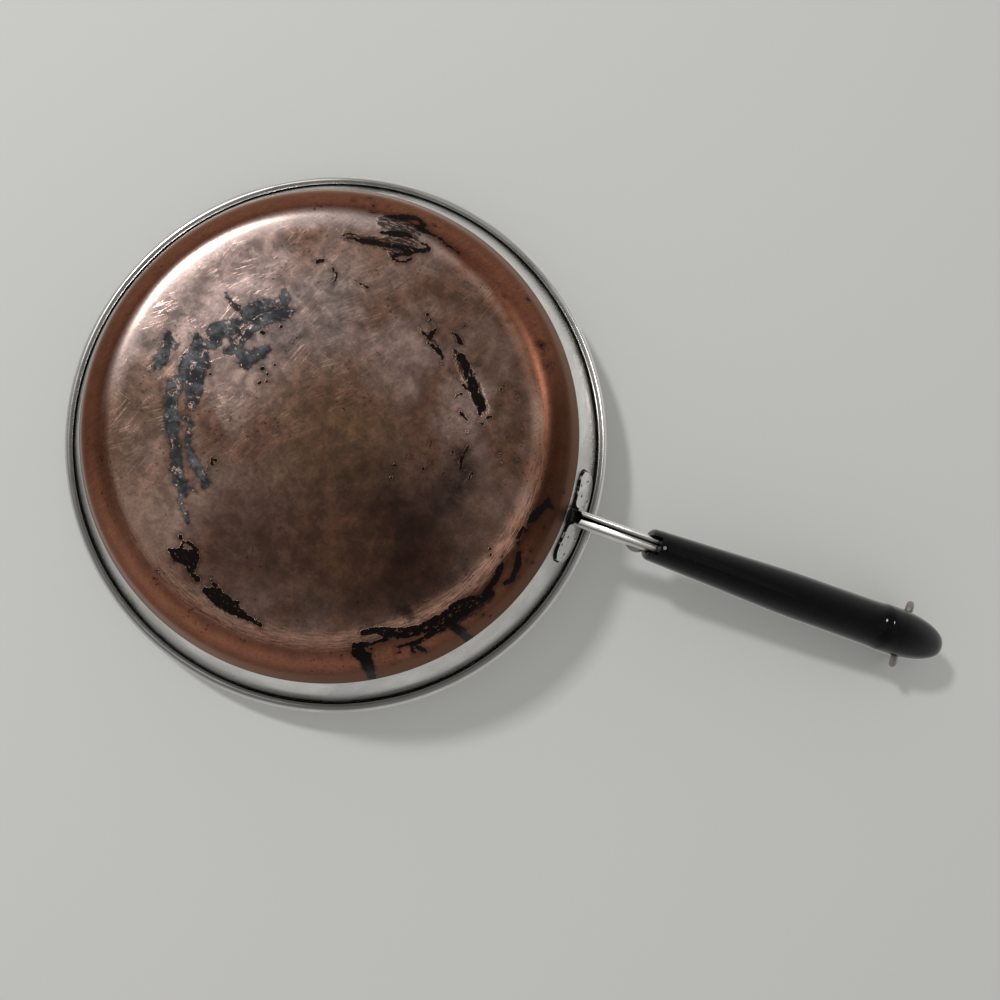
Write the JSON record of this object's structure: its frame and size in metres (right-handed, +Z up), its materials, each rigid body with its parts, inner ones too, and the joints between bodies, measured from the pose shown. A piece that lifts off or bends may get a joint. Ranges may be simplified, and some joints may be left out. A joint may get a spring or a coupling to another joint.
{
  "type": "frying pan",
  "caption": "Round steel frying pan with a copper-clad base, flared wall, rolled lip, welded bracket handle, black moulded grip and swinging wire hang ring.",
  "frame": {"origin": "centre of the flat copper underside that the pan stands on", "axes": "+Z up through the pan's opening, +X along the handle from the pan to its hang ring, +Y across"},
  "size_m": [0.5344, 0.309, 0.117],
  "materials": {
    "steel": "polished",
    "copper": "tarnished copper",
    "grip_resin": "glossy black",
    "wire": "dull grey wire"
  },
  "bodies": {
    "pan": {"pan_shell": "steel", "copper_base": "copper", "handle_bracket": "steel", "grip": "grip_resin", "grip_pin": "wire"},
    "ring": {"hang_ring": "wire"}
  },
  "joints": [
    {"name": "ring_swing", "type": "hinge", "parent": "pan", "child": "ring", "pos_m": [0.35205, 0, 0.08295], "axis": [0, 1, 0], "range_deg": [-94, 211]}
  ]
}
